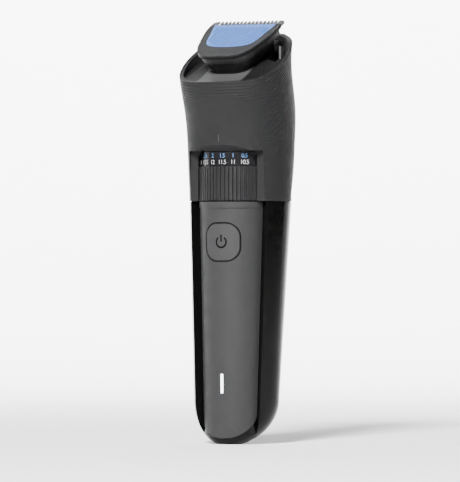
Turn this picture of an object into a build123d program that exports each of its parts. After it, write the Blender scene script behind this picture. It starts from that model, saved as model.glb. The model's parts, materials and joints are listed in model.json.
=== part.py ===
from build123d import *
import os
from math import copysign, cos, pi, radians, sin, sqrt, tan

# Beard trimmer with a length wheel. The front faces -Y, +Z runs up the long axis, and the
# row's origin is the centre of the charging land at the very bottom. Everything is drawn
# about the body axis, which stands land_setback behind that land, and is moved at the end.
# All sizes are in millimetres and all angles in degrees.

# ---------------------------------------------------------------- driving dimensions
# handle
handle_height = 96.4
handle_top_half_width = 20.9
handle_low_half_width = 17.8
handle_top_front = 17.4
handle_low_front = 16.4
handle_top_back = 18.0
handle_low_back = 9.9
round_end_height = 18.0
land_scale = 0.30
land_setback = 10.5
handle_fullness = 2.2
round_end_steps = 5
handle_wall = 1.8
front_wall = 1.4
# front panel
panel_thickness = 1.6
panel_recess = 0.15
panel_low_half_width = 11.5
panel_top_half_width = 14.1
panel_low_edge_depth = 9.1
panel_top_edge_depth = 8.1
panel_tip_height = 2.4
panel_gap = 0.08
lip_height = 2.4
lip_rise = 0.45
# upper housing
seam_gap = 0.3
housing_height = 74.0
housing_wall = 1.8
housing_step = 0.35
rim_front_height = handle_height + 47.2
rim_rise = 21.0
rim_start = -26.0
rim_length = 48.0
# length wheel and its window
wheel_radius = 17.0
wheel_bore = wheel_radius - 2.4
wheel_grip_height = 13.6
wheel_rib_count = 64
wheel_rib_depth = 0.55
number_ring_radius = wheel_radius - 0.8
number_ring_height = 5.8
wheel_lift = 0.5
bezel_depth = wheel_radius - 5.65
bezel_half_width = 16.5
window_corner = 3.0
# length setting
dial_step_angle = 16.4
steps_below_rest = 2
steps_above_rest = 17
lift_per_step = 0.5
follower_radius = 1.1
follower_clearance = 0.2
# comb carriage
carriage_wall = 1.8
carriage_clearance = 0.4
leg_inner = 13.0
leg_outer = 15.6
leg_front = -0.5
leg_back = 8.0
leg_clearance = 0.35
leg_top_height = handle_height + 49.6
# head
head_slope = 29.0
head_front_y = -20.0
head_front_z = handle_height + 57.6
frame_half_width = 15.75
frame_length = 28.0
frame_thickness = 1.6
plate_half_width = 13.6
plate_start = 8.3
plate_thickness = 0.5
rib_pitch = 1.28
rib_height = 0.25
blade_half_width = 16.1
blade_thickness = 0.6
moving_blade_thickness = 0.5
blade_gap = 0.05
tooth_pitch = 1.715
tooth_gap_count = 16
tooth_gap_width = 0.85
tooth_length = 3.5
tip_length = 4.2
blade_travel = 1.2
base_inset = 1.1
base_thickness = 2.6
neck_inset = 2.4
neck_foot_inset = 3.3
neck_step = 2.6
unit_gap = 0.15
hook_radius = 0.45
# deck
deck_crest_y = -13.0
deck_crest_z = handle_height + 52.6
deck_corner = 9.7
deck_slope = 0.44
deck_front_slope = 0.55
deck_side_slope = 0.35
deck_thickness = 5.0
deck_hole_radius = 5.5
# drive
motor_radius = wheel_radius - 7.0
motor_length = 25.0
motor_bottom = handle_height + 7.6
motor_shaft_radius = 1.0
chassis_clearance = 0.1
chassis_wall = 1.6
coupling_radius = 2.2
cam_radius = 3.0
crank_offset = 1.2
crank_radius = 0.8
crank_top = handle_height + 65.0
# power button
button_height = 80.4
button_half_width = 7.25
button_thickness = 1.3
button_gap = 0.2
button_travel = 0.6
stem_radius = 2.2
plunger_radius = 1.2
# charge light
light_height = 24.2
light_width = 1.2
light_length = 7.9
# electronics
board_front = -10.1
board_thickness = 1.0
board_half_width = 7.0
battery_radius = 7.0
battery_length = 50.0
battery_bottom = 19.0
battery_y = -0.6
# charging socket
socket_width = 6.8
socket_depth = 3.6
socket_recess = 5.0
contact_radius = 0.55
contact_spacing = 3.0

housing_bottom = handle_height + seam_gap
wheel_bottom = handle_height + wheel_lift
number_bottom = wheel_bottom + wheel_grip_height
wheel_top = number_bottom + number_ring_height
tall = 400.0


# ---------------------------------------------------------------- shape helpers
def box(low, high):
    """Box between two corners."""
    size = [b - a for a, b in zip(low, high)]
    middle = [(a + b) / 2 for a, b in zip(low, high)]
    return Pos(*middle) * Box(*size)


def rod(x, y, low, high, radius):
    """Round bar along Z."""
    return Pos(x, y, (low + high) / 2) * Cylinder(radius, high - low)


def tube(low, high, outer, inner):
    """Ring about the body axis."""
    return rod(0, 0, low, high, outer) - rod(0, 0, low - 1, high + 1, inner)


def bar_y(x, z, front, back, radius):
    """Round bar along Y."""
    return Pos(x, (front + back) / 2, z) * Rot(90, 0, 0) * Cylinder(radius, back - front)


def blend(low, high, share):
    return low + (high - low) * share


def outline(z, half_width, front, back, fullness=2.0, samples=16):
    """Level closed curve from y = -front to y = back, fuller than an ellipse in its front half."""
    middle = (back - front) / 2
    depth = (back + front) / 2
    points = []
    for i in range(samples):
        angle = pi / 2 + 2 * pi * i / samples
        c = cos(angle)
        s = sin(angle)
        power = 2 / (blend(2.0, fullness, -s) if s < 0 else 2.0)
        px = half_width * copysign(abs(c) ** power, c)
        py = middle + depth * copysign(abs(s) ** power, s)
        points.append((px, py, z))
    return Wire([Spline(*points, periodic=True)])


def prism_y(face, front, back):
    """Stand an outline drawn in X and Z along Y, from front to back."""
    placed = Plane(origin=(0, back, 0), x_dir=(1, 0, 0), z_dir=(0, -1, 0)) * face
    return extrude(placed, amount=back - front)


# ---------------------------------------------------------------- handle
def handle_share(z):
    return (z - round_end_height) / (handle_height - round_end_height)


def handle_front(z):
    return blend(handle_low_front, handle_top_front, handle_share(z))


def handle_outline(z, inset=0.0):
    """Level outline of the handle above its round end."""
    at = handle_share(z)
    width = blend(handle_low_half_width, handle_top_half_width, at) - inset
    front = handle_front(z) - inset
    back = blend(handle_low_back, handle_top_back, at) - inset
    return outline(z, width, front, back, handle_fullness)


def handle_body(inset=0.0, extra_top=0.0):
    """The handle as one solid, shrunk by inset: a straight taper over a round end."""
    wires = []
    for i in range(round_end_steps + 1):
        rise = round_end_height * i / round_end_steps
        scale = sqrt(1 - (1 - i / round_end_steps) ** 2 * (1 - land_scale ** 2))
        share = (scale - land_scale) / (1 - land_scale)
        middle = blend(-land_setback, (handle_low_back - handle_low_front) / 2, share)
        depth = (handle_low_front + handle_low_back) / 2 * scale - inset
        width = handle_low_half_width * scale - inset
        z = rise + inset * (1 - rise / round_end_height)
        wires.append(outline(z, width, depth - middle, depth + middle, handle_fullness))
    round_end = Solid.make_loft(wires)
    taper = Solid.make_loft([handle_outline(round_end_height, inset),
                             handle_outline(handle_height + extra_top, inset)], ruled=True)
    return round_end + taper


def panel_edge(z):
    share = z / handle_height
    half_width = blend(panel_low_half_width, panel_top_half_width, share)
    depth = blend(panel_low_edge_depth, panel_top_edge_depth, share)
    return half_width, depth


def channel(depth=0.0, spread=0.0):
    """The space in front of the panel's face, moved back by depth and out by spread."""
    slant = 1.3
    reach = 12.0
    wires = []
    for z in (-5.0, handle_height + 5.0):
        half_width, edge_depth = panel_edge(z)
        apex = handle_front(z) - panel_recess - depth
        right = (half_width + spread, -edge_depth + slant * depth, z)
        left = (-right[0], right[1], z)
        right_out = (right[0] + reach * 0.74, right[1] - reach * 0.66, z)
        left_out = (-right_out[0], right_out[1], z)
        far = -60.0
        curve = ThreePointArc(left, (0, -apex, z), right)
        rest = Polyline(right, right_out, (right_out[0], far, z), (left_out[0], far, z),
                        left_out, left)
        wires.append(Wire(curve.edges() + rest.edges()))
    return Solid.make_loft(wires, ruled=True)


def panel_outline(grow=0.0):
    """Front view of the panel: two straight sides and a round lower end."""
    top = handle_height
    shoulder = panel_tip_height + 10.6
    top_width = panel_edge(top)[0] + grow
    low_width = panel_edge(shoulder)[0] + grow
    tip = panel_tip_height - grow
    sides = Polyline((low_width, shoulder), (top_width, top), (-top_width, top),
                     (-low_width, shoulder))
    flat_reach = low_width * 0.61
    turn_height = tip + 3.6
    left_end = Bezier((-low_width, shoulder), (-low_width, turn_height), (-flat_reach, tip), (0, tip))
    right_end = Bezier((0, tip), (flat_reach, tip), (low_width, turn_height), (low_width, shoulder))
    end = left_end.edges() + right_end.edges()
    return make_face(sides.edges() + end)


def button_outline(half_width):
    """Rounded square of the power button, drawn about its own centre."""
    corner = half_width * 0.72
    return RectangleRounded(2 * half_width, 2 * half_width, corner)


def button_prism(half_width, front, back):
    return prism_y(Pos(0, button_height) * button_outline(half_width), front, back)


def light_slot(front, back):
    face = SlotOverall(light_length, light_width, rotation=90)
    return prism_y(Pos(0, light_height) * face, front, back)


handle_full = handle_body()
panel_face_tool = channel()
panel_core = handle_full - panel_face_tool

# the floor under the panel follows its face, and near the round end it leans back
lean_top = 16.0
lean_angle = 6.0
lean_y = -(handle_front(lean_top) - panel_recess - panel_thickness)


def lean(depth=0.0):
    return Pos(0, lean_y + depth, lean_top) * Rot(lean_angle, 0, 0) * box((-30, -40, -40), (30, 0, 0))


floor_tool = channel(panel_thickness) + lean()
panel_pocket = floor_tool & prism_y(panel_outline(panel_gap), -40, -3)

cavity = handle_body(handle_wall, 2.0) - channel(panel_thickness + front_wall, front_wall)
cavity -= lean(front_wall)
button_hole = button_prism(button_half_width + button_gap, -40, -8)

boss_x = handle_top_half_width - 3.9
boss_y = 2.0
boss_radius = 2.6
screw_radius = 0.9
bulkhead_bottom = handle_height - 3.2
bulkhead_top = handle_height - 0.2
boss_height = 11.0


def on_both_sides(shape):
    return shape + mirror(shape, about=Plane.YZ)


lower_shell = panel_core - panel_pocket - cavity
lower_shell -= button_hole
lower_shell -= light_slot(-40, -8)
boss = rod(boss_x, boss_y, bulkhead_bottom - boss_height, bulkhead_bottom, boss_radius)
lower_shell += on_both_sides(boss) & handle_full
lower_shell -= on_both_sides(rod(boss_x, boss_y, bulkhead_bottom - 8, handle_height, screw_radius))
socket_opening = Pos(0, -land_setback, 0) * extrude(SlotOverall(socket_width, socket_depth), 20)
lower_shell -= socket_opening

front_panel = panel_core & (floor_tool & prism_y(panel_outline(), -40, -3))
lip_zone = box((-40, -40, handle_height - lip_height), (40, -5, handle_height))
lip = (channel(0.3) - channel(-lip_rise)) & prism_y(panel_outline(), -40, -3) & lip_zone
front_panel += lip
front_panel -= button_hole
front_panel -= light_slot(-40, -8)

light_guide_back = board_front - 1.3
light_guide = light_slot(-40, light_guide_back) & panel_core

charge_led = box((-1.5, board_front - 1.2, light_height - 1.0), (1.5, board_front, light_height + 1.0))

# ---------------------------------------------------------------- power button
stem_end = -13.3
cap = button_prism(button_half_width, -40, -8) & channel(button_thickness)
power_button = cap - panel_face_tool
stem_start = -(handle_front(button_height) - panel_recess - button_thickness) - 0.4
power_button += bar_y(0, button_height, stem_start, stem_end, stem_radius)

plunger_back = stem_end + 1.9
switch_front = board_front - 2.3
switch_plunger = bar_y(0, button_height, stem_end, plunger_back, plunger_radius)
tact_switch = box((-3, switch_front, button_height - 3), (3, board_front, button_height + 3))
tact_switch -= bar_y(0, button_height, switch_front - 1, plunger_back + button_travel + 0.1,
                     plunger_radius + 0.05)

seal_thickness = 0.6
seal_depth = panel_thickness + front_wall
seal_size = button_half_width + 2.0
seal_zone = box((-seal_size, -30, button_height - seal_size), (seal_size, -5, button_height + seal_size))
button_seal = (channel(seal_depth + seal_thickness, front_wall) - channel(seal_depth, front_wall))
button_seal = button_seal & seal_zone
button_seal -= bar_y(0, button_height, -30, -5, stem_radius + 0.1)

# ---------------------------------------------------------------- electronics
board_bottom = 14.0
board_top = 92.0
board_back = board_front + board_thickness
circuit_board = box((-board_half_width, board_front, board_bottom),
                    (board_half_width, board_back, board_top))

battery_top = battery_bottom + battery_length
battery = rod(0, battery_y, battery_bottom, battery_top, battery_radius)
tab_thickness = 0.3
tab_half_width = 2.5
upper_tab = box((-tab_half_width, board_back, battery_top),
                (tab_half_width, battery_y + 2, battery_top + tab_thickness))
lower_tab = box((-tab_half_width, board_back, battery_bottom - tab_thickness),
                (tab_half_width, battery_y + 2, battery_bottom))
battery_tabs = Compound([upper_tab, lower_tab])

socket_block_top = 8.5
socket_block = box((-4.6, -land_setback - 2.9, 0), (4.6, -land_setback + 2.9, socket_block_top))
charging_socket = (socket_block & cavity) - Pos(0, -land_setback, 0) * extrude(
    SlotOverall(socket_width, socket_depth), socket_recess)
contact_pins = []
for side in (-1, 1):
    x = side * contact_spacing / 2
    contact_pins.append(rod(x, -land_setback, 1.2, socket_block_top + 2.0, contact_radius))
contact_pins = Compound(contact_pins)
charging_socket -= contact_pins

# ---------------------------------------------------------------- chassis and motor
chassis_bore = motor_radius + chassis_clearance
chassis_outer = chassis_bore + chassis_wall
chassis_top = motor_bottom + motor_length + 5.0
bulkhead_radius = handle_top_front - panel_thickness - front_wall - 0.7
cradle_radius = battery_radius + 0.15
cradle_outer = cradle_radius + 1.0
rail_outer = board_half_width + 1.2

chassis = rod(0, 0, bulkhead_bottom, bulkhead_top, bulkhead_radius)
ear = box((-boss_x - 1.3, boss_y - 2.4, bulkhead_bottom), (boss_x + 1.3, boss_y + 2.4, bulkhead_bottom + 1.6))
chassis += ear
chassis += rod(0, 0, bulkhead_bottom, chassis_top, chassis_outer)
chassis -= rod(0, 0, bulkhead_bottom + 1.6, chassis_top - 2.0, chassis_bore)
cradle = rod(0, battery_y, battery_bottom + 1, bulkhead_bottom, cradle_outer)
cradle -= rod(0, battery_y, battery_bottom - 1, bulkhead_bottom - 2, cradle_radius)
cradle &= box((-20, battery_y + 1.5, 0), (20, 20, handle_height))
chassis += cradle
rails = box((board_half_width, board_front - 0.2, battery_bottom + 1), (rail_outer, battery_y + 2.2, bulkhead_bottom))
chassis += on_both_sides(rails)
chassis -= rod(0, battery_y, battery_bottom - 1, battery_top + 0.5, cradle_radius)
chassis -= rod(0, 0, chassis_top - 3, chassis_top + 1, coupling_radius + 0.3)
chassis -= on_both_sides(rod(boss_x, boss_y, bulkhead_bottom - 1, bulkhead_top + 1, screw_radius))

leaf_thickness = 0.3
detent_bed = box((-3.0, bulkhead_radius - 3.0, bulkhead_top - 0.05), (3.0, 30, bulkhead_top + 1))
chassis -= detent_bed - rod(0, 0, 0, tall, chassis_outer)

screw = rod(boss_x, boss_y, bulkhead_bottom - 8, bulkhead_bottom + 1.6, screw_radius)
screw += rod(boss_x, boss_y, bulkhead_bottom + 1.6, bulkhead_bottom + 2.7, 1.5)
screw -= box((boss_x - 1.1, boss_y - 0.2, bulkhead_bottom + 2.1), (boss_x + 1.1, boss_y + 0.2, bulkhead_top + 2))
frame_screws = Compound([screw, mirror(screw, about=Plane.YZ)])

motor_top = motor_bottom + motor_length
motor = rod(0, 0, motor_bottom, motor_top, motor_radius)
motor += rod(0, 0, motor_top, motor_top + 1.5, 3.0)
motor -= rod(0, 0, motor_top - 5, motor_top + 2, motor_shaft_radius + 0.05)

cam_bottom = handle_height + 59.6
cam_top = cam_bottom + 1.5
drive_shaft = rod(0, 0, motor_top - 4, motor_top + 4, motor_shaft_radius)
drive_shaft += rod(0, 0, motor_top + 2.2, cam_bottom, coupling_radius)
drive_shaft += rod(0, 0, cam_bottom, cam_top, cam_radius)
drive_shaft += rod(crank_offset, 0, cam_top, crank_top, crank_radius)

# ---------------------------------------------------------------- upper housing
# evenly spaced up the housing: how much wider, deeper in front and deeper behind than at
# the seam, and the fullness of the front half
housing_stations = [
    (0.0, 0.0, 0.0, 2.15),
    (0.4, 0.5, 0.9, 2.15),
    (0.8, 1.1, 1.9, 2.15),
    (1.1, 2.0, 2.8, 2.15),
    (1.4, 4.2, 3.0, 2.20),
    (1.6, 6.8, 0.8, 2.35),
    (1.6, 8.0, -0.9, 2.45),
    (1.5, 8.0, 0.9, 2.45),
    (1.3, 7.6, 3.0, 2.40),
]


def housing_body(inset=0.0):
    """The upper housing as one solid, shrunk by inset."""
    wires = []
    for i, (wider, deeper, behind, fullness) in enumerate(housing_stations):
        z = housing_bottom + housing_height * i / (len(housing_stations) - 1)
        width = handle_top_half_width + wider - inset
        front = handle_top_front + housing_step + deeper - inset
        back = handle_top_back + housing_step + behind - inset
        wires.append(outline(z, width, front, back, fullness))
    return Solid.make_loft(wires)


def rim_height(y):
    share = min(max((y - rim_start) / rim_length, 0), 1)
    return rim_front_height + rim_rise * share ** 2 * (3 - 2 * share)


def above_rim(drop=0.0):
    """Everything above the rim's curved surface, which rises towards the back."""
    far = 60.0
    count = 8
    curve = []
    for i in range(count + 1):
        y = rim_start + rim_length * i / count
        curve.append((0, y, rim_height(y) - drop))
    wave = Spline(*curve, tangents=[(0, 1, 0), (0, 1, 0)])
    low = (0, -far, curve[0][2])
    high = (0, far, curve[-1][2])
    lid = Polyline(curve[-1], high, (0, far, tall), (0, -far, tall), low, curve[0])
    face = make_face(wave.edges() + lid.edges())
    return Pos(-far, 0, 0) * extrude(face, amount=2 * far, dir=(1, 0, 0))


housing_full = housing_body()
housing_core = housing_body(housing_wall)

roof_z = wheel_top + 0.4
visor_y = -(number_ring_radius - 0.2)
mouth_y = -(handle_top_front + housing_step + 1.6)
roof_rise = 2.4
roof_slope = roof_rise / (visor_y - mouth_y)
far_front = -40.0
recess_profile = Polyline((0, -bezel_depth, 0), (0, -bezel_depth, roof_z), (0, visor_y, roof_z),
                          (0, far_front, roof_z + roof_slope * (visor_y - far_front)),
                          (0, far_front, 0), close=True)
recess = Pos(-bezel_half_width, 0, 0) * extrude(make_face(recess_profile), 2 * bezel_half_width, dir=(1, 0, 0))
recess_top = roof_z + roof_rise + 0.3
recess_front_view = Pos(0, recess_top - 25) * RectangleRounded(2 * bezel_half_width, 50, 4.0)
recess = recess & prism_y(recess_front_view, -40, 0)

bezel_block = housing_full & box((-19, -40, housing_bottom), (19, -8.4, roof_z + 3))
wheel_clearance = 0.35
window_half_width = sqrt((wheel_radius + wheel_clearance) ** 2 - bezel_depth ** 2)
window_view = Pos(0, roof_z - 25) * RectangleRounded(2 * window_half_width, 50, window_corner)

upper_housing = housing_full - housing_core
upper_housing += bezel_block
upper_housing -= recess
upper_housing -= rod(0, 0, housing_bottom - 1, number_bottom + wheel_clearance, wheel_radius + wheel_clearance)
upper_housing -= rod(0, 0, housing_bottom - 1, roof_z, number_ring_radius + wheel_clearance)
upper_housing -= rod(0, 0, housing_bottom - 1, roof_z + 4, wheel_bore + 0.1)
upper_housing -= prism_y(window_view, -40, -8) & box((-20, -40, 0), (20, -8, roof_z))
upper_housing -= above_rim()
mark_z = roof_z + 4.8
mark_y = -(handle_top_front + housing_step + 1.7)
upper_housing -= box((-0.25, mark_y - 3, mark_z - 1.5), (0.25, mark_y + 0.2, mark_z + 1.5))

seal_ring = Solid.make_loft([outline(z, handle_top_half_width - 0.5, handle_top_front - 0.5,
                                     handle_top_back - 0.5, 2.15) for z in (handle_height, housing_bottom)])
seal_core = Solid.make_loft([outline(z, handle_top_half_width - 1.4, handle_top_front - 1.4,
                                     handle_top_back - 1.4, 2.15) for z in (handle_height - 1, housing_bottom + 1)])
seam_seal = (seal_ring - seal_core) & box((-40, -7.5, 0), (40, 40, tall))

# ---------------------------------------------------------------- length wheel
rib_groove_radius = pi * wheel_radius / wheel_rib_count * 0.56
rim_circle = Circle(wheel_radius)
groove = Pos(wheel_radius + rib_groove_radius - wheel_rib_depth, 0) * Circle(rib_groove_radius)
ribbed = rim_circle - [Rot(0, 0, 360 * i / wheel_rib_count) * groove for i in range(wheel_rib_count)]
ribbed -= Circle(wheel_bore)
zoom_wheel = Pos(0, 0, wheel_bottom) * extrude(ribbed, wheel_grip_height)

travel_down = steps_below_rest * lift_per_step
travel_up = steps_above_rest * lift_per_step
turn_down = steps_below_rest * dial_step_angle
turn_up = steps_above_rest * dial_step_angle
lift_pitch = lift_per_step * 360 / dial_step_angle
track_half_width = follower_radius + follower_clearance
follower_z = wheel_bottom + 0.8 + track_half_width + travel_down
track_depth = 1.05
track_end_angle = 5.0
track_turn = turn_down + turn_up + 2 * track_end_angle
track_start_z = follower_z - travel_down - track_end_angle * lift_pitch / 360
track_start_angle = turn_down + track_end_angle


def cam_track(start_angle):
    """Helical groove in the wheel's bore that lifts one follower of the carriage."""
    inner = wheel_bore - 0.4
    outer = wheel_bore + track_depth
    middle = (inner + outer) / 2
    path = Helix(lift_pitch, lift_pitch * track_turn / 360, middle, lefthand=True)
    start = Plane(origin=path @ 0, x_dir=(1, 0, 0), z_dir=path % 0)
    profile = start * Rectangle(outer - inner, 2 * track_half_width)
    cutter = sweep(profile, path=path, is_frenet=True)
    return Pos(0, 0, track_start_z) * Rot(0, 0, start_angle) * cutter


zoom_wheel -= cam_track(track_start_angle)
detent_radius = 0.5
notch_ring = (wheel_bore + wheel_radius - wheel_rib_depth) / 2
dial_positions = steps_below_rest + steps_above_rest + 1
for i in range(dial_positions):
    angle = 90 - (i - steps_below_rest) * dial_step_angle
    zoom_wheel -= Rot(0, 0, angle) * Pos(notch_ring, 0, wheel_bottom) * Sphere(detent_radius)

number_ring = tube(number_bottom, wheel_top, number_ring_radius, wheel_bore)

bump_gap = 0.05
wheel_detent = box((-3.0, chassis_outer + 0.1, bulkhead_top), (3.0, notch_ring + 0.5, bulkhead_top + leaf_thickness))
wheel_detent += rod(0, notch_ring, bulkhead_top, wheel_bottom - bump_gap, 0.35)

# ---------------------------------------------------------------- comb carriage
sleeve_outer = wheel_bore - carriage_clearance
sleeve_inner = sleeve_outer - carriage_wall
sleeve_bottom = follower_z - 1.9
yoke_bottom = wheel_top + travel_down + 0.6
yoke_top = yoke_bottom + 2.0
comb_carriage = tube(sleeve_bottom, yoke_top, sleeve_outer, sleeve_inner)
yoke = box((-leg_outer, leg_front, yoke_bottom), (leg_outer, leg_back, yoke_top))
comb_carriage += yoke - rod(0, 0, 0, tall, sleeve_inner)
leg = box((leg_inner, leg_front, yoke_bottom), (leg_outer, leg_back, leg_top_height))
comb_carriage += on_both_sides(leg)
follower_reach = wheel_bore + track_depth - 0.25
follower = Pos((sleeve_inner + follower_reach) / 2 + 0.2, 0, follower_z) * Rot(0, 90, 0) * Cylinder(
    follower_radius, follower_reach - sleeve_inner - 0.4)
comb_carriage += follower

# ---------------------------------------------------------------- deck
deck_crest = (0, deck_crest_y, deck_crest_z)
main_plane = Plane(origin=deck_crest, z_dir=(0, -deck_slope, 1))
front_plane = Plane(origin=deck_crest, z_dir=(0, -deck_front_slope, 1))
side_planes = []
for side in (-1, 1):
    corner = (side * deck_corner, deck_crest_y, deck_crest_z)
    side_planes.append(Plane(origin=corner, z_dir=(side * deck_side_slope, -deck_slope, 1)))

fit_gap = 0.05
deck_fill = housing_body(housing_wall + fit_gap) - above_rim(0.4)
for plane in [front_plane, main_plane] + side_planes:
    deck_fill = split(deck_fill, bisect_by=plane, keep=Keep.BOTTOM)
deck_underside = Plane(origin=(0, deck_crest_y, deck_crest_z - deck_thickness), z_dir=(0, -deck_slope, 1))
head_deck = split(deck_fill, bisect_by=deck_underside, keep=Keep.TOP)
slot_zone = box((leg_inner - leg_clearance, leg_front - leg_clearance, 100),
                (leg_outer + leg_clearance, leg_back + leg_clearance, tall))
head_deck -= on_both_sides(slot_zone)
head_deck -= rod(0, 0, 100, tall, deck_hole_radius)

rail_gap = leg_clearance
rail_x = leg_outer + rail_gap
rail_bottom = handle_height + 49.6
rail_top = rail_bottom + 12.5
comb_rail = box((rail_x, leg_back - 5.5, rail_bottom), (rail_x + 0.9, leg_back - 2.5, rail_top))
rail_pocket = box((rail_x - 0.2, leg_back - 5.5, rail_bottom), (rail_x + 0.9, leg_back - 2.5, rail_top))
head_deck -= on_both_sides(rail_pocket)
comb_rails = Compound([comb_rail, mirror(comb_rail, about=Plane.YZ)])

seal_bottom = deck_crest_z + 1.6
shaft_seal = rod(0, 0, seal_bottom, seal_bottom + 2.2, deck_hole_radius)
shaft_seal -= rod(0, 0, seal_bottom - 1, seal_bottom + 4, coupling_radius + 0.4)
shaft_seal = shaft_seal & deck_fill

# ---------------------------------------------------------------- cutting unit
slope = radians(head_slope)
head = Plane(origin=(0, head_front_y, head_front_z), x_dir=(1, 0, 0), z_dir=(0, -sin(slope), cos(slope)))


def head_outline(inset=0.0, back=frame_length):
    """Top view of the head: wide at the blades and closing in a blunt round nose."""
    side = [(0.977, 0.75), (0.863, 0.40), (0.71, 0.165), (0.46, 0.03)]
    width = frame_half_width - inset
    length = frame_length - inset
    right = [(width, back)]
    for across, along in side:
        right.append((width * across, inset + length * along))
    nose = [(0, inset)]
    left = [(-x, v) for x, v in reversed(right)]
    curve = Spline(*(right + nose + left), tangents=[(0, -1), (0, 1)])
    return make_face(curve.edges() + Line(left[-1], right[0]).edges())


def plate_outline(gap=0.0):
    """Top view of the skin plate."""
    width = plate_half_width + gap
    low = plate_start - gap
    right = [(width, frame_length), (width * 0.91, 21.0), (width * 0.825, 14.5), (width * 0.68, low + 2.0)]
    nose = [(width * 0.36, low + 0.3), (0, low), (-width * 0.36, low + 0.3)]
    left = [(-x, v) for x, v in reversed(right)]
    curve = Spline(*(right + nose + left), tangents=[(0, -1), (0, 1)])
    return make_face(curve.edges() + Line(left[-1], right[0]).edges())


def head_slab(face, top, bottom):
    """Slab of the head between two levels measured from its upper face."""
    return extrude(head * (Pos(0, 0, bottom) * face), amount=top - bottom, dir=head.z_dir)


def head_box(low, high):
    """Box in the head's own frame: across, up the slope, and out of the face."""
    return head * box(low, high)


guard_top = -plate_thickness
guard_bottom = guard_top - blade_thickness
moving_top = guard_bottom - blade_gap
moving_bottom = moving_top - moving_blade_thickness
tip_end = frame_length + tip_length
root_start = tip_end - tooth_length
frame_bottom = -frame_thickness
base_bottom = frame_bottom - base_thickness
blade_start = 19.0
blade_body_half_width = 14.0
moving_half_width = 12.6

tooth_gaps = []
for i in range(tooth_gap_count):
    x = (i - (tooth_gap_count - 1) / 2) * tooth_pitch
    slot_face = Pos(x, root_start + 5) * RectangleRounded(tooth_gap_width, 10, tooth_gap_width * 0.45)
    tooth_gaps.append(slot_face)
blade_face = Pos(0, (frame_length + 0.2 + tip_end) / 2) * Rectangle(2 * blade_half_width, tip_end - frame_length - 0.2)
blade_face = fillet(blade_face.vertices().sort_by(Axis.Y)[-2:], 1.9)
blade_face += Pos(0, (blade_start + frame_length + 1) / 2) * Rectangle(
    2 * blade_body_half_width, frame_length + 1 - blade_start)
guard_blade = head_slab(blade_face - tooth_gaps, guard_top, guard_bottom)

moving_tip = tip_end - 0.7
moving_face = Pos(0, (blade_start + 1 + moving_tip) / 2) * Rectangle(
    2 * moving_half_width, moving_tip - blade_start - 1)
moving_blade = head_slab(moving_face - tooth_gaps, moving_top, moving_bottom)

skin_plate = head_slab(plate_outline(), 0, -plate_thickness)
rib_count = int(2 * plate_half_width / rib_pitch) - 2
ribs = []
for i in range(rib_count):
    x = (i - (rib_count - 1) / 2) * rib_pitch
    ribs.append(Pos(x, frame_length / 2) * Rectangle(rib_pitch * 0.45, frame_length - 5))
skin_plate += head_slab(plate_outline(-1.2) & (Sketch() + ribs), rib_height, -0.1)

blade_pocket = box((-blade_body_half_width - 0.1, blade_start - 0.1, moving_bottom - 0.1),
                   (blade_body_half_width + 0.1, 60, guard_top))
cutter_frame = head_slab(head_outline(), 0, frame_bottom)
cutter_frame -= head_slab(plate_outline(fit_gap), 1, -plate_thickness)
cutter_frame -= head * blade_pocket

carrier_half_width = 8.0
carrier_start = 17.9
carrier_end = 26.0
carrier_top = moving_bottom
carrier_bottom = base_bottom + 0.45
well_clearance = 0.4
well_half_width = carrier_half_width + blade_travel + well_clearance
cutter_base = head_slab(head_outline(base_inset, frame_length - 0.4), frame_bottom, base_bottom)
cutter_base -= head_box((-well_half_width, 14.0, -10), (well_half_width, carrier_end + 0.8, 5))
cutter_base -= head * blade_pocket
hook_v = neck_inset + 0.5
for side in (-1, 1):
    hook = Pos(side * 5.0, hook_v, base_bottom) * Rot(0, 90, 0) * Cylinder(hook_radius, 4.0)
    cutter_base += head * hook
cutter_frame -= head_box((-well_half_width, 14.0, -10), (well_half_width, carrier_end + 0.8, moving_bottom))

fork_half_width = crank_offset + blade_travel + crank_radius + 0.35
blade_carrier = head_box((-carrier_half_width, carrier_start, carrier_bottom),
                         (carrier_half_width, carrier_end, carrier_top))
blade_carrier -= head_box((-fork_half_width, carrier_start + 0.5, -10), (fork_half_width, carrier_end - 1.2, 5))

spring_wire = 0.35
spring_z = (frame_bottom + base_bottom) / 2
spring_path = Polyline((-7.5, 16.9, spring_z), (-6.0, 15.2, spring_z), (6.0, 15.2, spring_z), (7.5, 16.9, spring_z))
spring_start = Plane(origin=spring_path @ 0, z_dir=spring_path % 0)
blade_spring = head * sweep(spring_start * Circle(spring_wire), path=spring_path, transition=Transition.ROUND)

# ---------------------------------------------------------------- neck
neck_top = base_bottom - unit_gap
neck_block = head_slab(head_outline(neck_inset, frame_length - 3.0), neck_top, neck_top - neck_step)
neck_block += head_slab(head_outline(neck_foot_inset, frame_length - 3.5), neck_top, neck_top - 9.0)
neck = neck_block - deck_fill
neck = neck & split(housing_body(housing_wall + 1.0), bisect_by=Plane.XY.offset(rim_front_height - 3.6), keep=Keep.TOP)
neck -= rod(0, 0, 100, tall, 4.8)
neck -= head_box((-fork_half_width - 1, 17.0, -12), (fork_half_width + 1, 24.5, 5))
neck -= on_both_sides(slot_zone)
hook_groove = Rot(0, 90, 0) * Cylinder(hook_radius + 0.08, 2 * (5.0 + 2.2))
neck -= head * (Pos(0, hook_v, base_bottom) * hook_groove)
neck -= head * (Pos(0, neck_inset, neck_top) * Rot(45, 0, 0) * Box(60, 1.3, 1.3))

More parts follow.
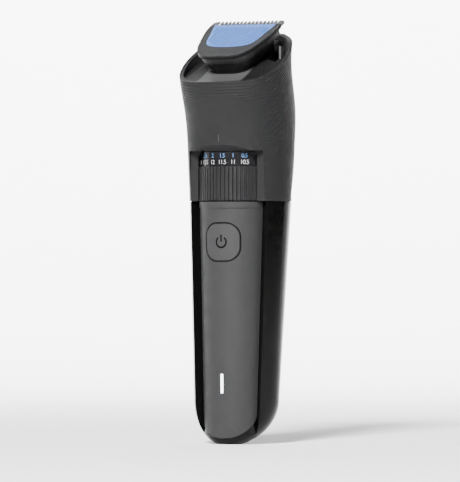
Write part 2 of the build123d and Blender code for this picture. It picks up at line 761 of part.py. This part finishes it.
# ---------------------------------------------------------------- write the pieces
nodes = {
    "lower_shell": lower_shell,
    "front_panel": front_panel,
    "light_guide": light_guide,
    "charge_led": charge_led,
    "power_button": power_button,
    "switch_plunger": switch_plunger,
    "tact_switch": tact_switch,
    "button_seal": button_seal,
    "circuit_board": circuit_board,
    "battery": battery,
    "battery_tabs": battery_tabs,
    "charging_socket": charging_socket,
    "contact_pins": contact_pins,
    "chassis": chassis,
    "frame_screws": frame_screws,
    "motor": motor,
    "drive_shaft": drive_shaft,
    "upper_housing": upper_housing,
    "seam_seal": seam_seal,
    "zoom_wheel": zoom_wheel,
    "number_ring": number_ring,
    "wheel_detent": wheel_detent,
    "comb_carriage": comb_carriage,
    "comb_rails": comb_rails,
    "head_deck": head_deck,
    "shaft_seal": shaft_seal,
    "neck": neck,
    "cutter_base": cutter_base,
    "cutter_frame": cutter_frame,
    "skin_plate": skin_plate,
    "guard_blade": guard_blade,
    "moving_blade": moving_blade,
    "blade_carrier": blade_carrier,
    "blade_spring": blade_spring,
}

os.makedirs("parts", exist_ok=True)
for name, shape in nodes.items():
    placed = Pos(0, land_setback, 0) * Compound(shape.solids())
    export_step(placed, "parts/" + name + ".step")
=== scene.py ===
import json
from math import cos, pi, radians, sin

import bpy
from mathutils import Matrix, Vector
from mathutils.bvhtree import BVHTree


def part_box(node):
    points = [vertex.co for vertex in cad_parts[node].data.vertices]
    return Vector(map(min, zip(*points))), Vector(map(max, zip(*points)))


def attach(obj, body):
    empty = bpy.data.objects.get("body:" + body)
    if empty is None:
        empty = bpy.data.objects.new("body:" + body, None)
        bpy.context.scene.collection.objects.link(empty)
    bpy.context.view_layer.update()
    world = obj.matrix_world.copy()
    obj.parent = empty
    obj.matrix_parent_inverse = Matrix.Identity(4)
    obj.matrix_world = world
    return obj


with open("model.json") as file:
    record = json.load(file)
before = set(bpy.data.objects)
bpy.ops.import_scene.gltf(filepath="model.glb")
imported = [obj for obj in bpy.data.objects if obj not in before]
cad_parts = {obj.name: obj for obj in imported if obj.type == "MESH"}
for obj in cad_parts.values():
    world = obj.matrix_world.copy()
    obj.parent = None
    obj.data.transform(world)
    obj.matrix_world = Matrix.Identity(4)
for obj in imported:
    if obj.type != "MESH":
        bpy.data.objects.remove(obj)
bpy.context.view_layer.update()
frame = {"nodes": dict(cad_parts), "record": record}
nodes = frame["nodes"]
MM = 0.001


# ---------------------------------------------------------------- materials
def new_material(name):
    """An empty node material with its Principled shader and its object coordinates."""
    material = bpy.data.materials.new(name)
    material.use_nodes = True
    tree = material.node_tree
    shader = tree.nodes["Principled BSDF"]
    place = tree.nodes.new("ShaderNodeTexCoord").outputs["Object"]
    return material, tree, shader, place


def noise(tree, place, scale, detail=3.0, rough=0.5):
    """Noise over the object, scale in features per metre."""
    node = tree.nodes.new("ShaderNodeTexNoise")
    node.inputs["Scale"].default_value = scale
    node.inputs["Detail"].default_value = detail
    node.inputs["Roughness"].default_value = rough
    tree.links.new(place, node.inputs["Vector"])
    return node.outputs["Fac"]


def remap(tree, value, low, high, start=0.3, end=0.7):
    """Runs from low to high as value goes from start to end; the defaults suit a noise texture."""
    node = tree.nodes.new("ShaderNodeMapRange")
    node.inputs["From Min"].default_value = start
    node.inputs["From Max"].default_value = end
    node.inputs["To Min"].default_value = low
    node.inputs["To Max"].default_value = high
    tree.links.new(value, node.inputs["Value"])
    return node.outputs["Result"]


def mixed(tree, value, first, second):
    """Colour that runs from first to second with a 0 to 1 value."""
    node = tree.nodes.new("ShaderNodeMix")
    node.data_type = "RGBA"
    node.inputs[6].default_value = (*first, 1)
    node.inputs[7].default_value = (*second, 1)
    tree.links.new(value, node.inputs[0])
    return node.outputs[2]


def arithmetic(tree, operation, first, second=None):
    """One step of arithmetic on sockets or plain numbers."""
    node = tree.nodes.new("ShaderNodeMath")
    node.operation = operation
    for socket, value in zip(node.inputs, (first, second)):
        if value is None:
            continue
        if isinstance(value, (int, float)):
            socket.default_value = value
        else:
            tree.links.new(value, socket)
    return node.outputs[0]


def add_bump(tree, shader, height, distance, under=None):
    """Bumps the surface by a height texture, distance in metres, over the bump under it."""
    node = tree.nodes.new("ShaderNodeBump")
    node.inputs["Strength"].default_value = 1.0
    node.inputs["Distance"].default_value = distance
    tree.links.new(height, node.inputs["Height"])
    if under is not None:
        tree.links.new(under, node.inputs["Normal"])
    tree.links.new(node.outputs["Normal"], shader.inputs["Normal"])
    return node.outputs["Normal"]


def scaled(color, factor):
    """A colour made darker or lighter."""
    return tuple(c * factor for c in color)


def plastic(name, color, rough, grain=2200, bump=0.00003, spread=0.18, coat=0.0, specular=0.5):
    """Moulded plastic: a fine grain, patches of shade that vary by spread, and rubbed patches."""
    material, tree, shader, place = new_material(name)
    patches = noise(tree, place, 60, 4)
    shade = mixed(tree, remap(tree, patches, 0, 1), scaled(color, 1 - spread), scaled(color, 1 + spread))
    tree.links.new(shade, shader.inputs["Base Color"])
    wear = noise(tree, place, 220, 5, 0.65)
    tree.links.new(remap(tree, wear, rough * 0.85, min(1.0, rough * 1.15)), shader.inputs["Roughness"])
    add_bump(tree, shader, noise(tree, place, grain, 2), bump)
    shader.inputs["Coat Weight"].default_value = coat
    shader.inputs["Coat Roughness"].default_value = 0.04
    shader.inputs["Specular IOR Level"].default_value = specular
    return material


def metal(name, color, rough, along=(1, 1, 1), bump=0.00001):
    """Metal with a fine grain drawn out along an axis and faint stains."""
    material, tree, shader, place = new_material(name)
    stretch = tree.nodes.new("ShaderNodeVectorMath")
    stretch.operation = "MULTIPLY"
    stretch.inputs[1].default_value = along
    tree.links.new(place, stretch.inputs[0])
    grain = noise(tree, stretch.outputs[0], 3000, 3)
    stain = noise(tree, place, 150, 4)
    tree.links.new(mixed(tree, remap(tree, stain, 0, 1), scaled(color, 0.82), color),
                   shader.inputs["Base Color"])
    tree.links.new(remap(tree, grain, rough * 0.75, min(1.0, rough * 1.3)), shader.inputs["Roughness"])
    add_bump(tree, shader, grain, bump)
    shader.inputs["Metallic"].default_value = 1.0
    return material


def glowing(name, color, strength):
    """A lit lens, a little uneven."""
    material, tree, shader, place = new_material(name)
    shader.inputs["Base Color"].default_value = (0.8, 0.82, 0.85, 1)
    shader.inputs["Roughness"].default_value = 0.3
    shader.inputs["Emission Color"].default_value = (*color, 1)
    uneven = noise(tree, place, 500, 2)
    tree.links.new(remap(tree, uneven, strength * 0.9, strength), shader.inputs["Emission Strength"])
    add_bump(tree, shader, noise(tree, place, 1500, 2), 0.00002)
    return material


def axis_of(tree, place):
    """The three coordinates of a place, as sockets."""
    node = tree.nodes.new("ShaderNodeSeparateXYZ")
    tree.links.new(place, node.inputs[0])
    return node.outputs[0], node.outputs[1], node.outputs[2]


def ridged_housing(name, color, rough):
    """Housing plastic with fine moulded ridges that climb round the sides and leave a smooth front shield."""
    material, tree, shader, place = new_material(name)
    ridge_climb = 25 * MM
    ridge_pitch = 1.22 * MM
    ridge_height = 0.07 * MM
    half_shield = 15.5 * MM
    shield_top = 138.2 * MM
    shield_bow = 12
    soft_top = 0.4 * MM
    soft_side = 2 * MM
    fade_low = 108 * MM
    fade_high = 122 * MM
    x, y, z = axis_of(tree, place)
    low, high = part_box("upper_housing")
    across = arithmetic(tree, "ABSOLUTE", x)
    climb = remap(tree, y, 0, ridge_climb, low.y, high.y)
    climb.node.interpolation_type = "SMOOTHSTEP"
    level = arithmetic(tree, "SUBTRACT", z, climb)
    wave = arithmetic(tree, "SINE", arithmetic(tree, "MULTIPLY", level, 2 * pi / ridge_pitch))
    bow = arithmetic(tree, "MULTIPLY", arithmetic(tree, "MULTIPLY", across, across), shield_bow)
    inside_top = arithmetic(tree, "SUBTRACT", shield_top, arithmetic(tree, "ADD", z, bow))
    above_shield = remap(tree, inside_top, 1, 0, -soft_top, soft_top)
    beside_shield = remap(tree, across, 0, 1, half_shield, half_shield + soft_side)
    outside = arithmetic(tree, "MAXIMUM", above_shield, beside_shield)
    fade = remap(tree, z, 0, 1, fade_low, fade_high)
    mask = arithmetic(tree, "MULTIPLY", outside, fade)
    ridges = arithmetic(tree, "MULTIPLY", wave, mask)
    patches = noise(tree, place, 60, 4)
    shade = mixed(tree, remap(tree, patches, 0, 1), scaled(color, 0.9), scaled(color, 1.1))
    tree.links.new(shade, shader.inputs["Base Color"])
    wear = noise(tree, place, 220, 5, 0.65)
    tree.links.new(remap(tree, wear, rough * 0.9, rough * 1.1), shader.inputs["Roughness"])
    grained = add_bump(tree, shader, noise(tree, place, 2500, 2), 0.00002)
    add_bump(tree, shader, ridges, ridge_height, grained)
    shader.inputs["Specular IOR Level"].default_value = 0.12
    return material


def plastic_with_painted_shade(name, color, shade, mask_of, rough):
    """Plastic with painted shade: it runs from color to the darker painted shade colour where mask_of(tree,
    place) goes from 0 to 1.
    """
    material, tree, shader, place = new_material(name)
    patches = noise(tree, place, 60, 4)
    bright = mixed(tree, remap(tree, patches, 0, 1), scaled(color, 0.92), color)
    # painted shade: where the mask is 1 the base colour becomes the darker colour that stands in for shadow
    node = tree.nodes.new("ShaderNodeMix")
    node.data_type = "RGBA"
    node.inputs[7].default_value = (*shade, 1)
    tree.links.new(mask_of(tree, place), node.inputs[0])
    tree.links.new(bright, node.inputs[6])
    tree.links.new(node.outputs[2], shader.inputs["Base Color"])
    wear = noise(tree, place, 220, 5, 0.65)
    tree.links.new(remap(tree, wear, rough * 0.9, rough * 1.1), shader.inputs["Roughness"])
    add_bump(tree, shader, noise(tree, place, 2500, 2), 0.00001)
    shader.inputs["Specular IOR Level"].default_value = 0.1
    return material


def deck_sides_painted_shade(tree, place):
    """Painted shade: 1 on the deck's two side facets, which are painted darker to stand in for the head's
    shadow there.
    """
    deck_corner = 9.7 * MM
    soft = 0.2 * MM
    across = arithmetic(tree, "ABSOLUTE", axis_of(tree, place)[0])
    return remap(tree, across, 0, 1, deck_corner - soft, deck_corner + soft)


def skirt_painted_shade(tree, place):
    """Painted shade: 1 on the cutting head's skirt, just under its sloping upper face, which is painted
    darker where its sides turn away from the light.
    """
    _, y, z = axis_of(tree, place)
    slope = radians(29)
    face_front = -9.5 * MM
    face_low = 154 * MM
    skirt_starts = -0.3 * MM
    skirt_full = -0.6 * MM
    back = arithmetic(tree, "MULTIPLY", arithmetic(tree, "SUBTRACT", y, face_front), -sin(slope))
    up = arithmetic(tree, "MULTIPLY", arithmetic(tree, "SUBTRACT", z, face_low), cos(slope))
    return remap(tree, arithmetic(tree, "ADD", back, up), 1, 0, skirt_full, skirt_starts)


finishes = {
    "gloss_black": plastic("gloss_black", (0.0015, 0.0015, 0.0015), 0.10, 900, 0.000003, 0.1, 0.0, 0.12),
    "panel_grey": plastic("panel_grey", (0.020, 0.020, 0.0206), 0.5, 3500, 0.00001, 0.04, 0.0, 0.2),
    "light_lens": glowing("light_lens", (1.0, 1.0, 1.0), 3.5),
    "led_body": glowing("led_body", (1.0, 1.0, 0.97), 3.0),
    "button_grey": plastic("button_grey", (0.024, 0.024, 0.0247), 0.5, 3500, 0.00001, 0.04, 0.0, 0.2),
    "plunger_white": plastic("plunger_white", (0.75, 0.75, 0.72), 0.45),
    "switch_black": plastic("switch_black", (0.02, 0.02, 0.02), 0.5),
    "seal_rubber": plastic("seal_rubber", (0.008, 0.008, 0.008), 0.75, 1500, 0.00002),
    "board_green": plastic("board_green", (0.015, 0.13, 0.045), 0.35, 900, 0.00002, 0.25),
    "cell_wrap": plastic("cell_wrap", (0.03, 0.13, 0.30), 0.3, 600, 0.00002, 0.1, 0.3),
    "nickel_tab": metal("nickel_tab", (0.6, 0.58, 0.54), 0.35),
    "contact_plating": metal("contact_plating", (0.78, 0.76, 0.7), 0.22),
    "frame_grey": plastic("frame_grey", (0.12, 0.12, 0.12), 0.55),
    "screw_steel": metal("screw_steel", (0.22, 0.22, 0.23), 0.4),
    "motor_can": metal("motor_can", (0.58, 0.58, 0.57), 0.32, (1, 1, 0.1)),
    "shaft_steel": metal("shaft_steel", (0.62, 0.62, 0.61), 0.2, (1, 1, 0.1)),
    "housing_grey": ridged_housing("housing_grey", (0.0105, 0.0105, 0.0109), 0.6),
    "wheel_black": plastic("wheel_black", (0.005, 0.005, 0.0052), 0.4, 2500, 0.00002, 0.1, 0.0, 0.35),
    "dial_black": plastic("dial_black", (0.006, 0.006, 0.007), 0.15, 900, 0.000004, 0.1, 0.5),
    "spring_steel": metal("spring_steel", (0.52, 0.51, 0.49), 0.3, (0.1, 1, 1)),
    "rail_grey": plastic("rail_grey", (0.05, 0.05, 0.05), 0.45),
    # deck_grey: painted shade, the deck's side facets get the darker colour in place of the head's shadow
    "deck_grey": plastic_with_painted_shade("deck_grey", (0.045, 0.045, 0.046), (0.006, 0.006, 0.006), deck_sides_painted_shade, 0.6),
    "neck_black": plastic("neck_black", (0.004, 0.004, 0.0042), 0.35, 2000, 0.00001, 0.15, 0.0, 0.3),
    # frame_dark: painted shade, the skirt under the upper face gets the darker colour
    "frame_dark": plastic_with_painted_shade("frame_dark", (0.0125, 0.0125, 0.013), (0.002, 0.002, 0.002), skirt_painted_shade, 0.5),
    "plate_blue": plastic("plate_blue", (0.045, 0.125, 0.37), 0.45, 1800, 0.00001, 0.04, 0.0, 0.3),
    "blade_steel": metal("blade_steel", (0.10, 0.10, 0.103), 0.4, (1, 0.08, 0.08)),
}
for part in frame["record"]["subparts"]:
    owner = nodes[part["node"]]
    owner.data.materials.clear()
    owner.data.materials.append(finishes[part["material_slot"]])
    for polygon in owner.data.polygons:
        polygon.material_index = 0

print_white = plastic("print_white", (0.30, 0.30, 0.30), 0.5, 3000, 0.000005, 0.05)
print_blue = plastic("print_blue", (0.06, 0.14, 0.30), 0.5, 3000, 0.000005, 0.05)
print_grey = plastic("print_grey", (0.008, 0.008, 0.008), 0.5, 3000, 0.000005, 0.05)
icon_black = plastic("icon_black", (0.001, 0.001, 0.001), 0.6, 3000, 0.000005, 0.05, 0.0, 0.02)


# ---------------------------------------------------------------- printed marks
def add_piece(name, points, faces, material, body):
    """A mesh piece that rides on a body."""
    mesh = bpy.data.meshes.new(name)
    mesh.from_pydata(points, [], faces)
    mesh.update()
    piece = bpy.data.objects.new(name, mesh)
    bpy.context.scene.collection.objects.link(piece)
    mesh.materials.append(material)
    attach(piece, body)


size_per_digit_height = 1.4
digit_spacing = 0.88


def flat_text(words, height):
    """Points and faces of a line of digits, centred on the origin, in metres."""
    curve = bpy.data.curves.new("digits", "FONT")
    curve.body = words
    curve.size = height * size_per_digit_height
    curve.align_x = "CENTER"
    curve.align_y = "CENTER"
    curve.resolution_u = 4
    curve.space_character = digit_spacing
    source = bpy.data.objects.new("digits", curve)
    bpy.context.scene.collection.objects.link(source)
    bpy.context.view_layer.update()
    mesh = bpy.data.meshes.new_from_object(source)
    points = [tuple(v.co) for v in mesh.vertices]
    faces = [tuple(p.vertices) for p in mesh.polygons]
    bpy.data.objects.remove(source)
    bpy.data.curves.remove(curve)
    bpy.data.meshes.remove(mesh)
    return points, faces


ring_low, ring_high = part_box("number_ring")
ring_x = (ring_low.x + ring_high.x) / 2
ring_y = (ring_low.y + ring_high.y) / 2
print_lift = 0.03 * MM
ring_radius = (ring_high.x - ring_low.x) / 2 + print_lift
dial_step = 16.4
value_step = 0.5
steps_down = 2
steps_up = 17
value_at_rest = 1.5
row_offset = 10
digit_height = 1.75 * MM
upper_row = ring_high.z - 1.6 * MM
lower_row = ring_high.z - 4.2 * MM


def dial_row(name, level, offset, material):
    """One row of numbers round the ring, larger towards the viewer's left."""
    points = []
    faces = []
    for step in range(-steps_down, steps_up + 1):
        value = value_at_rest + offset + value_step * step
        words = f"{value:g}"
        middle = radians(-dial_step * step)
        flat, polygons = flat_text(words, digit_height)
        first = len(points)
        for across, up, _ in flat:
            turn = middle + across / ring_radius
            points.append((ring_x + ring_radius * sin(turn), ring_y - ring_radius * cos(turn), level + up))
        faces += [tuple(first + i for i in polygon) for polygon in polygons]
    add_piece(name, points, faces, material, "wheel")


dial_row("numbers_upper", upper_row, 0, print_blue)
dial_row("numbers_lower", lower_row, row_offset, print_white)


def surface_of(node):
    """A ray caster on a CAD node's mesh."""
    mesh = nodes[node].data
    return BVHTree.FromPolygons([v.co for v in mesh.vertices], [tuple(p.vertices) for p in mesh.polygons])


def on_front(tree, x, z, lift):
    """The point a little in front of a node's front surface."""
    well_in_front = -0.1
    hit = tree.ray_cast(Vector((x, well_in_front, z)), Vector((0, 1, 0)))[0]
    return (x, hit.y - lift, z)


def ribbon(tree, centre_line, width, lift):
    """Points and faces of a thin strip laid on a node's front surface along a line of (x, z)."""
    points = []
    faces = []
    count = len(centre_line)
    for i, (x, z) in enumerate(centre_line):
        before = centre_line[max(i - 1, 0)]
        after = centre_line[min(i + 1, count - 1)]
        run = Vector((after[0] - before[0], after[1] - before[1])).normalized()
        for side in (-0.5, 0.5):
            points.append(on_front(tree, x - run.y * width * side, z + run.x * width * side, lift))
        if i:
            faces.append((2 * i - 2, 2 * i - 1, 2 * i + 1, 2 * i))
    return points, faces


button_low, button_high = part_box("power_button")
button_x = (button_low.x + button_high.x) / 2
button_z = (button_low.z + button_high.z) / 2
button_face = surface_of("power_button")
icon_radius = 2.15 * MM
icon_line = 0.6 * MM
icon_gap = radians(38)
arc = []
arc_steps = 40
for i in range(arc_steps + 1):
    angle = icon_gap + (2 * pi - 2 * icon_gap) * i / arc_steps
    arc.append((button_x + icon_radius * sin(angle), button_z + icon_radius * cos(angle)))
bar_start = 0.1 * MM
bar_step = 0.35 * MM
bar_points_count = 9
bar = [(button_x, button_z + bar_start + bar_step * i) for i in range(bar_points_count)]
ink = 0.05 * MM
ring_points, ring_faces = ribbon(button_face, arc, icon_line, ink)
bar_points, bar_faces = ribbon(button_face, bar, icon_line, ink)
shift = len(ring_points)
icon_faces = ring_faces + [tuple(shift + i for i in face) for face in bar_faces]
add_piece("power_mark", ring_points + bar_points, icon_faces, icon_black, "button")

panel_face = surface_of("front_panel")
edge_offset = 0.42 * MM
edge_width = 0.34 * MM
edge_spacing = 0.4 * MM
corner_share = 0.72
edge_half = (button_high.x - button_low.x) / 2 + edge_offset
edge_corner = edge_half * corner_share
edge_line = []
corner_steps = 12
for quarter in range(4):
    centre_x = (edge_half - edge_corner) * (1 if quarter in (0, 3) else -1)
    centre_z = (edge_half - edge_corner) * (1 if quarter in (0, 1) else -1)
    for i in range(corner_steps + 1):
        angle = pi / 2 * (quarter + i / corner_steps)
        edge_line.append((button_x + centre_x + edge_corner * cos(angle),
                          button_z + centre_z + edge_corner * sin(angle)))
edge_line.append(edge_line[0])
fine_line = []
for first, second in zip(edge_line, edge_line[1:]):
    pieces = 1 + int((Vector(second) - Vector(first)).length / edge_spacing)
    for i in range(pieces):
        share = i / pieces
        fine_line.append((first[0] + (second[0] - first[0]) * share,
                          first[1] + (second[1] - first[1]) * share))
fine_line.append(edge_line[-1])
edge_points, edge_faces = ribbon(panel_face, fine_line, edge_width, print_lift)
add_piece("button_edge", edge_points, edge_faces, icon_black, "housing")

housing_face = surface_of("upper_housing")
tick_low = 120.1 * MM
tick_high = 123.0 * MM
tick_width = 0.45 * MM
tick_steps = 6
tick = [(0.0, tick_low + (tick_high - tick_low) * i / tick_steps) for i in range(tick_steps + 1)]
tick_points, tick_faces = ribbon(housing_face, tick, tick_width, ink)
add_piece("length_mark", tick_points, tick_faces, print_grey, "housing")

# ---------------------------------------------------------------- stage, light and camera
floor_material = plastic("floor", (0.90, 0.90, 0.90), 0.8, 30, 0.0001, 0.01, 0.0, 0.1)
camera_azimuth = radians(27)
image_right = Vector((cos(camera_azimuth), sin(camera_azimuth), 0))
view_away = Vector((-sin(camera_azimuth), cos(camera_azimuth), 0))
half_stage = 2.5
sweep_start = 0.7
sweep_radius = 0.8
wall_top = 3.0
floor_front = -3.0
profile = [(floor_front, 0.0), (sweep_start, 0.0)]
sweep_steps = 24
for i in range(1, sweep_steps + 1):
    turn = pi / 2 * i / sweep_steps
    profile.append((sweep_start + sweep_radius * sin(turn), sweep_radius * (1 - cos(turn))))
profile.append((sweep_start + sweep_radius, wall_top))
stage_points = []
stage_faces = []
for i, (away, up) in enumerate(profile):
    for side in (-half_stage, half_stage):
        stage_points.append(tuple(view_away * away + image_right * side + Vector((0, 0, up))))
    if i:
        stage_faces.append((2 * i - 2, 2 * i - 1, 2 * i + 1, 2 * i))
floor_mesh = bpy.data.meshes.new("floor")
floor_mesh.from_pydata(stage_points, [], stage_faces)
for polygon in floor_mesh.polygons:
    polygon.use_smooth = True
floor = bpy.data.objects.new("floor", floor_mesh)
floor_mesh.materials.append(floor_material)
bpy.context.scene.collection.objects.link(floor)

half_height = 85 * MM
middle = Vector((0, ring_y, half_height))


def area_light(name, place, target, width, height, power, spread=180):
    """A rectangular light at place that faces target, in metres; spread in degrees."""
    light = bpy.data.lights.new(name, "AREA")
    light.shape = "RECTANGLE"
    light.size = width
    light.size_y = height
    light.energy = power
    light.spread = radians(spread)
    lamp = bpy.data.objects.new(name, light)
    lamp.location = place
    lamp.rotation_euler = (target - place).to_track_quat("-Z", "Y").to_euler()
    bpy.context.scene.collection.objects.link(lamp)


def around(azimuth, elevation, distance):
    """The place at that direction from the middle of the object, in degrees and metres."""
    turn = radians(azimuth)
    rise = radians(elevation)
    return middle + Vector((sin(turn) * cos(rise), -cos(turn) * cos(rise), sin(rise))) * distance


area_light("key_light", around(8, 38, 2.0), middle, 0.45, 0.45, 160)
area_light("left_strip", around(-78, 0, 0.6), middle, 0.03, 0.5, 0.12)
area_light("right_strip", around(140, 0, 0.6), middle, 0.03, 0.5, 0.12)
wash_place = view_away * 0.35 + Vector((0, 0, 1.5))
wash_target = view_away * 1.5 + Vector((0, 0, 0.2))
area_light("back_wash", wash_place, wash_target, 1.6, 0.6, 70, 95)

world = bpy.data.worlds.new("studio")
bpy.context.scene.world = world
world.use_nodes = True
background = world.node_tree.nodes["Background"]
background.inputs["Color"].default_value = (1, 1, 1, 1)
background.inputs["Strength"].default_value = 0.08

camera_distance = 1.8
camera_height = 80.8 * MM
camera_left = 4.2 * MM
aim = Vector((0, ring_y, camera_height)) - image_right * camera_left
camera_data = bpy.data.cameras.new("camera")
camera_data.lens = 336
camera_data.clip_end = 20
camera = bpy.data.objects.new("camera", camera_data)
camera.location = aim - view_away * camera_distance
camera.rotation_euler = (pi / 2, 0, camera_azimuth)
bpy.context.scene.collection.objects.link(camera)
bpy.context.scene.camera = camera
